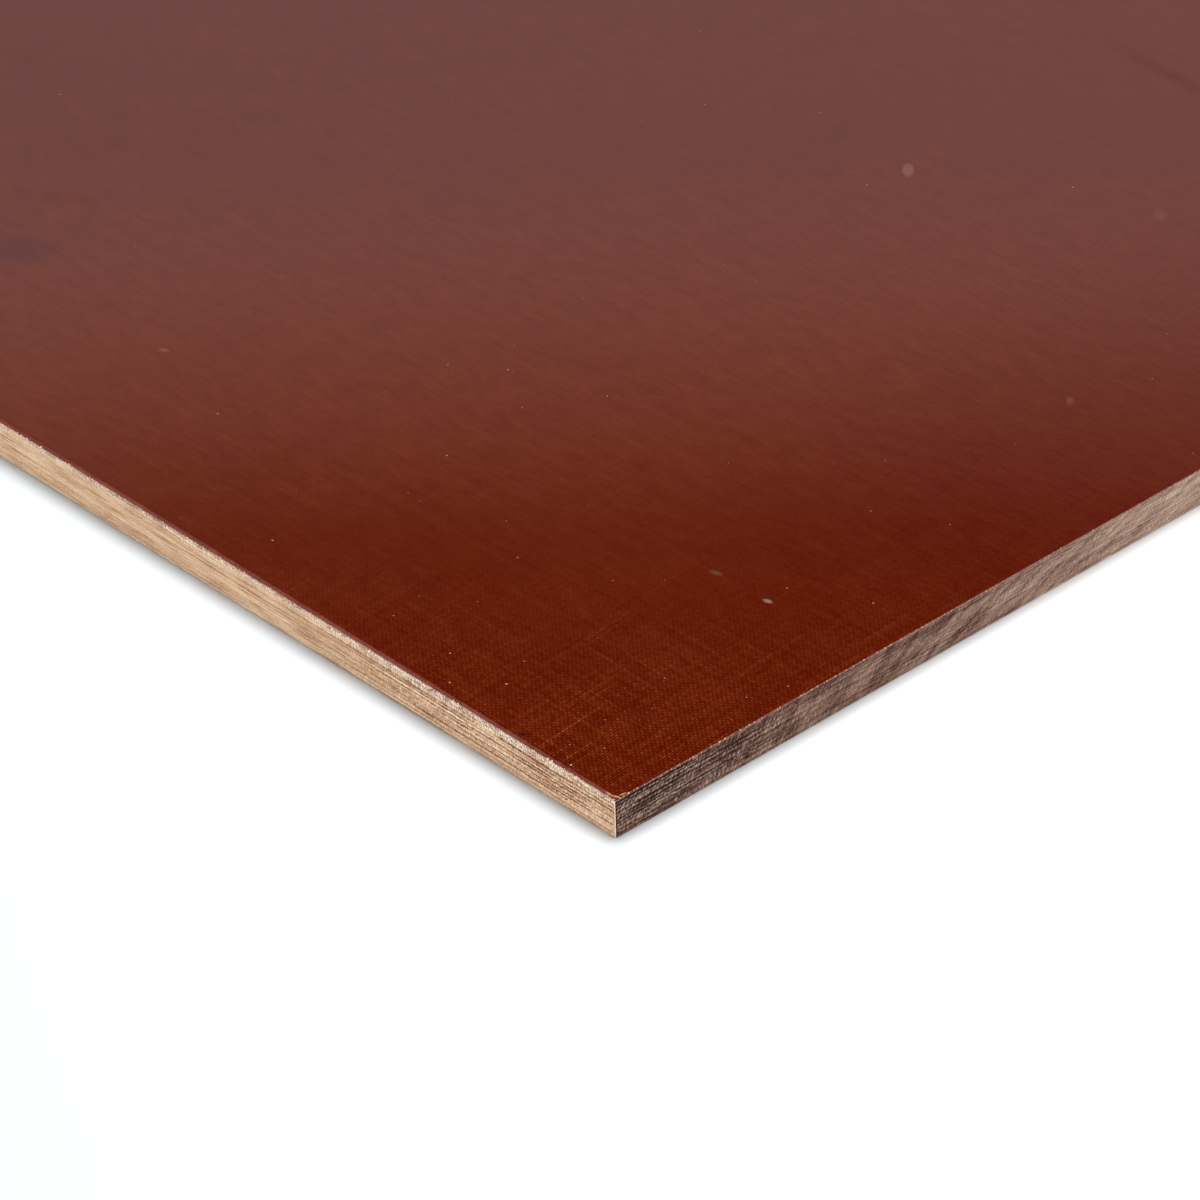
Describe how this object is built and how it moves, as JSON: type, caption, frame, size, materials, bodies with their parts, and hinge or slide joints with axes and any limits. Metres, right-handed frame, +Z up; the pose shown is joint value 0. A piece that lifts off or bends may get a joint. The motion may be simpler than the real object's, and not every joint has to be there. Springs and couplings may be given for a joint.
{
  "type": "phenolic laminate sheet",
  "caption": "Flat square panel of cloth-reinforced phenolic resin with smooth pressed faces and sawn, slightly frayed edges; raw stock for cutting into insulating or bearing parts.",
  "frame": {"origin": "middle of the underside, on the surface that the sheet lies on", "axes": "+Z up through the thickness; +X along the length, parallel to the front and back edges; +Y along the width, from the front edge to the back edge"},
  "size_m": [0.3, 0.3, 0.006],
  "materials": {
    "pressed_face": "satin-gloss red-brown phenolic resin over fine plain-weave cotton, with paler thread crossings and faint slubs",
    "sawn_edge": "matt tan-brown cut through many thin cloth plies, with darker resin lines and fine saw marks",
    "cotton_fray": "pale cream cotton fibres that the saw has lifted along the arrises"
  },
  "bodies": {
    "root": {"laminate_sheet": "pressed_face"}
  },
  "joints": []
}
